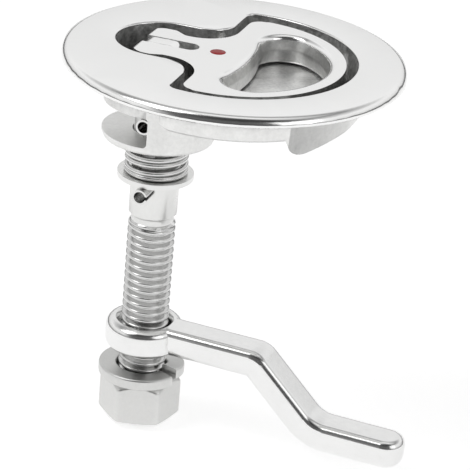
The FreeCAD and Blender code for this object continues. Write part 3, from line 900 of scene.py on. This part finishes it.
def lever_eye_section():
    """The eye's section, in mm, as distance from its axis and height."""
    bottom = LEVER_TOP - LEVER_THICKNESS
    inner = EYE_RADIUS - EYE_ROUND
    lip = arc_points((inner, LEVER_TOP - EYE_LIP), EYE_LIP, 90, 135, 3)[1:]
    return (arc_points((inner, bottom + EYE_ROUND), EYE_ROUND, -90, 0, 8)
            + arc_points((inner, LEVER_TOP - EYE_ROUND), EYE_ROUND, 0, 90, 8) + lip
            + [Vector((EYE_BORE, LEVER_TOP - EYE_MOUTH_DEPTH)), Vector((EYE_BORE, bottom + EYE_FOOT_EDGE)),
               Vector((EYE_BORE + EYE_FOOT_EDGE, bottom))])


def lever_piece():
    """Cranked lever: a rounded eye, an arm swept along its crank and a round tip."""
    half = lever_half_section()
    section = half + [Vector((-p.x, p.y)) for p in reversed(half[1:-1])]
    arm = []
    for x, z, slope in lever_path():
        out = Vector((math.sin(slope), 0, math.cos(slope)))
        arm.append([Vector((x, p.x, z)) + out * p.y for p in section])
    tip_z = LEVER_TOP - LEVER_CRANK_DROP
    middle = [Vector((LEVER_TIP_X, 0, tip_z - LEVER_THICKNESS)), Vector((LEVER_TIP_X, 0, tip_z))]
    tip = []
    for step in range(LEVER_TIP_STEPS + 1):
        a = math.radians(-90 + 180 * step / LEVER_TIP_STEPS)
        tip.append([Vector((LEVER_TIP_X + p.x * math.cos(a), p.x * math.sin(a), tip_z + p.y))
                    for p in half[1:-1]] + middle)
    eye = []
    ring = lever_eye_section()
    for step in range(EYE_SIDES):
        a = math.tau * step / EYE_SIDES
        eye.append([Vector((p.x * math.cos(a), p.x * math.sin(a), p.y)) for p in ring])
    shape = bmesh.new()
    for name, columns, ends in (("arm", arm, True), ("tip", tip, True), ("eye", eye, False)):
        part = ring_of_columns(name, columns, TUMBLED, 40, ends)
        shape.from_mesh(part.data)
        bpy.data.objects.remove(part)
    place = Matrix.Translation((SHAFT_X, 0, 0)) @ Matrix.Rotation(LEVER_TURN, 4, "Z") @ Matrix.Scale(MM, 4)
    bmesh.ops.transform(shape, matrix=place, verts=shape.verts)
    bmesh.ops.remove_doubles(shape, verts=shape.verts, dist=MERGE_DISTANCE)
    mesh = mesh_of("cranked_lever", shape)
    smooth_by_angle(mesh, 40)
    mesh.materials.append(TUMBLED)
    return with_flat_faces(new_object("cranked_lever", mesh))


def hexagon_outline():
    """Hexagon with rounded corners, as points about the nut's axis."""
    corner_reach = (NUT_FLATS / 2 - NUT_CORNER) / math.cos(math.radians(30))
    corner_steps = 6
    flat_steps = 10
    outline = []
    for corner in range(6):
        middle = NUT_TURN + corner * math.radians(60)
        centre = Vector((math.cos(middle), math.sin(middle), 0)) * corner_reach
        for step in range(corner_steps + 1):
            a = middle + math.radians(60) * (step / corner_steps - 0.5)
            outline.append(centre + Vector((math.cos(a), math.sin(a), 0)) * NUT_CORNER)
        after = middle + math.radians(60)
        next_centre = Vector((math.cos(after), math.sin(after), 0)) * corner_reach
        next_start = next_centre + Vector((math.cos(after - math.radians(30)),
                                           math.sin(after - math.radians(30)), 0)) * NUT_CORNER
        last = outline[-1]
        outline += [last.lerp(next_start, step / flat_steps) for step in range(1, flat_steps)]
    return outline


def nut_piece():
    """Hexagon nut with its corners rounded, its top turned to a cone and its foot to a flat one."""
    washer_face = NUT_FLATS / 2 - NUT_FACE_INSET
    columns = []
    for out in hexagon_outline():
        radius = out.length
        section = []
        for level, down, slope in ((NUT_TOP_Z, -1, NUT_CHAMFER), (NUT_BOTTOM_Z, 1, NUT_FOOT_SLOPE)):
            fall = (radius - washer_face) * math.tan(slope)
            edge = min(NUT_EDGE, fall / 2)
            stretch = [(BORE_RADIUS, level + down * 2 * NUT_EDGE), (BORE_RADIUS + 2 * NUT_EDGE, level),
                       (washer_face, level), (radius - edge, level + down * (fall - edge)),
                       (radius, level + down * (fall + edge))]
            section += stretch if down < 0 else stretch[::-1]
        way = out.normalized()
        columns.append([Vector((SHAFT_X, 0, z)) + way * r for r, z in section])
    return ring_of_columns("jam_nut", columns, SATIN, 32)


def split_washer_piece():
    """Spring washer: a rounded square wire bent to a ring, its last stretch sprung upwards."""
    steps = 90
    whole = math.tau - SPLIT_GAP
    corner_steps = 4
    inner = SPLIT_INNER + SPLIT_EDGE
    outer = SPLIT_OUTER - SPLIT_EDGE
    low = SPLIT_EDGE
    high = SPLIT_THICKNESS - SPLIT_EDGE
    columns = []
    for i in range(steps + 1):
        turned = whole * i / steps
        a = SPLIT_TURN - SPLIT_GAP / 2 - turned
        sprung = max(0.0, (turned - whole + SPLIT_SPRUNG) / SPLIT_SPRUNG)
        base = NUT_TOP_Z + SPLIT_CLEARANCE + SPLIT_LIFT * sprung ** SPLIT_BEND
        way = Vector((math.cos(a), math.sin(a), 0))
        section = []
        for corner, (r, z) in enumerate(((outer, high), (inner, high), (inner, low), (outer, low))):
            for step in range(corner_steps + 1):
                lean = math.radians(90) * (corner + step / corner_steps)
                section.append((r + SPLIT_EDGE * math.cos(lean), base + z + SPLIT_EDGE * math.sin(lean)))
        columns.append([Vector((SHAFT_X, 0, z)) + way * r for r, z in section])
    return ring_of_columns("split_washer", columns, SATIN, 40, ends=True)


# Studio

def build_floor():
    """Pale floor with an even glow of its own, for the camera and for reflections."""
    mesh = bpy.data.meshes.new("floor")
    corners = [(x * FLOOR_HALF, y * FLOOR_HALF, FLOOR_Z) for x, y in ((-1, -1), (1, -1), (1, 1), (-1, 1))]
    mesh.from_pydata(corners, [], [(0, 1, 2, 3)])
    floor = new_object("floor", mesh)
    material, tree, shader = new_material("pale_floor")
    shader.inputs["Base Color"].default_value = (0.8, 0.8, 0.8, 1)
    shader.inputs["Roughness"].default_value = 0.9
    shader.inputs["Specular IOR Level"].default_value = 0.0
    shader.inputs["Emission Color"].default_value = WHITE
    seen = tree.nodes.new("ShaderNodeLightPath").outputs
    in_view = math_node(tree, "MAXIMUM", seen["Is Camera Ray"], seen["Is Glossy Ray"])
    tree.links.new(math_node(tree, "MULTIPLY", in_view, FLOOR_GLOW), shader.inputs["Emission Strength"])
    mesh.materials.append(material)


def area_light(name, place, energy):
    data = bpy.data.lights.new(name, "AREA")
    data.size = LIGHT_SIZE
    data.energy = energy
    lamp = new_object(name, data)
    lamp.location = place
    lamp.rotation_euler = (Vector(LIGHT_TARGET) - Vector(place)).to_track_quat("-Z", "Y").to_euler()


def toward_camera(elevation):
    """Direction from the object to the camera's side, at an elevation."""
    across = math.cos(elevation)
    return Vector((math.sin(CAMERA_AZIMUTH) * across, -math.cos(CAMERA_AZIMUTH) * across,
                   math.sin(elevation)))


def build_world():
    """White studio: plain behind the object, and a softly graded tent in reflections."""
    world = bpy.data.worlds.new("studio")
    bpy.context.scene.world = world
    world.use_nodes = True
    nodes, links = world.node_tree.nodes, world.node_tree.links
    direction = nodes.new("ShaderNodeTexCoord").outputs["Generated"]
    split = nodes.new("ShaderNodeSeparateXYZ")
    links.new(direction, split.inputs[0])
    tent = nodes.new("ShaderNodeValToRGB")
    tent.color_ramp.interpolation = "EASE"
    ramp = tent.color_ramp.elements
    while len(ramp) < len(TENT_STOPS):
        ramp.new(0.5)
    for element, (place, value) in zip(ramp, TENT_STOPS):
        element.position = place
        element.color = (value, value, value, 1)
    links.new(split.outputs["Z"], tent.inputs["Fac"])
    toward = nodes.new("ShaderNodeVectorMath")
    toward.operation = "DOT_PRODUCT"
    links.new(direction, toward.inputs[0])
    toward.inputs[1].default_value = toward_camera(DARK_SIDE_ELEVATION)
    shade = nodes.new("ShaderNodeMapRange")
    shade.interpolation_type = "SMOOTHSTEP"
    for name, value in zip(("From Min", "From Max", "To Min", "To Max"), DARK_SIDE_RANGE):
        shade.inputs[name].default_value = value
    links.new(toward.outputs["Value"], shade.inputs["Value"])
    shaded = nodes.new("ShaderNodeVectorMath")
    shaded.operation = "SCALE"
    links.new(tent.outputs["Color"], shaded.inputs[0])
    links.new(shade.outputs[0], shaded.inputs["Scale"])
    seen = nodes.new("ShaderNodeLightPath").outputs
    mirrored = colour_mix(world.node_tree, seen["Is Glossy Ray"], AMBIENT, shaded.outputs["Vector"])
    shown = colour_mix(world.node_tree, seen["Is Camera Ray"], mirrored, WHITE)
    links.new(shown, nodes["Background"].inputs["Color"])


def build_camera():
    """Camera at the fitted angles, placed so that the shaft falls where the photo has it."""
    back = toward_camera(CAMERA_ELEVATION)
    level = Vector((math.cos(CAMERA_AZIMUTH), math.sin(CAMERA_AZIMUTH), 0))
    upright = back.cross(level)
    right = level * math.cos(CAMERA_ROLL) + upright * math.sin(CAMERA_ROLL)
    up = -level * math.sin(CAMERA_ROLL) + upright * math.cos(CAMERA_ROLL)
    half = FRAME_PX / 2
    scale = CAMERA_DISTANCE / CAMERA_FOCAL_PX
    place = (Vector((SHAFT_X, 0, 0)) - right * (SHAFT_PX[0] - half) * scale
             + up * (SHAFT_PX[1] - half) * scale + back * CAMERA_DISTANCE)
    data = bpy.data.cameras.new("camera")
    data.sensor_width = SENSOR_WIDTH
    data.lens = CAMERA_FOCAL_PX * SENSOR_WIDTH / FRAME_PX
    data.clip_start = 0.01
    data.clip_end = 20.0
    camera = new_object("camera", data)
    camera.matrix_world = Matrix.Translation(place) @ Matrix((right, up, back)).transposed().to_4x4()
    bpy.context.scene.camera = camera


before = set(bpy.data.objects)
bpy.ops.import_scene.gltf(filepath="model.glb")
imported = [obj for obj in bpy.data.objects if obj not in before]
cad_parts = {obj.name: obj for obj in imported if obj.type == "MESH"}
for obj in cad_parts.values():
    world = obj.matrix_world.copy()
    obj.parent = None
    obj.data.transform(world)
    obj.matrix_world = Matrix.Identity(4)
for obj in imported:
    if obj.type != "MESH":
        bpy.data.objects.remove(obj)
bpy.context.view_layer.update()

housing = dressed("base_housing", 35, [POLISHED, WELL_FLOOR_PAINTED_LIGHT, WALL_PAINTED_SHADE, CAST], housing_finish)
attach(housing, "housing")
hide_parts("base_housing")

handle = handle_piece()
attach(handle, "handle")
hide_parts("pull_handle")

spring = spring_piece()
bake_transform(spring)
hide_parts("compression_spring")

spindle = threaded_spindle()
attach(spindle, "spindle")
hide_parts("threaded_spindle")

for node, body, material in (
        ("hinge_pin", "spindle", TURNED), ("stop_pin", "spindle", SPRING),
        ("spring_washer", "spindle", TURNED), ("washer_pin", "spindle", SPRING)):
    piece = dressed(node, 40, [material])
    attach(piece, body)
    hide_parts(node)

head = tongue_head()
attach(head, "spindle")

dot = dot_piece()
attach(dot, "handle")
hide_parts("dot_inlay")

lever = lever_piece()
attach(lever, "lever")
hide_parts("cam_lever")

split_washer = split_washer_piece()
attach(split_washer, "spindle")
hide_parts("lock_washer")

nut = nut_piece()
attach(nut, "spindle")
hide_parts("hex_nut")

build_floor()
build_world()
build_camera()
for name, place, energy in LIGHTS:
    area_light(name, place, energy)

bpy.context.scene.view_settings.view_transform = "Standard"
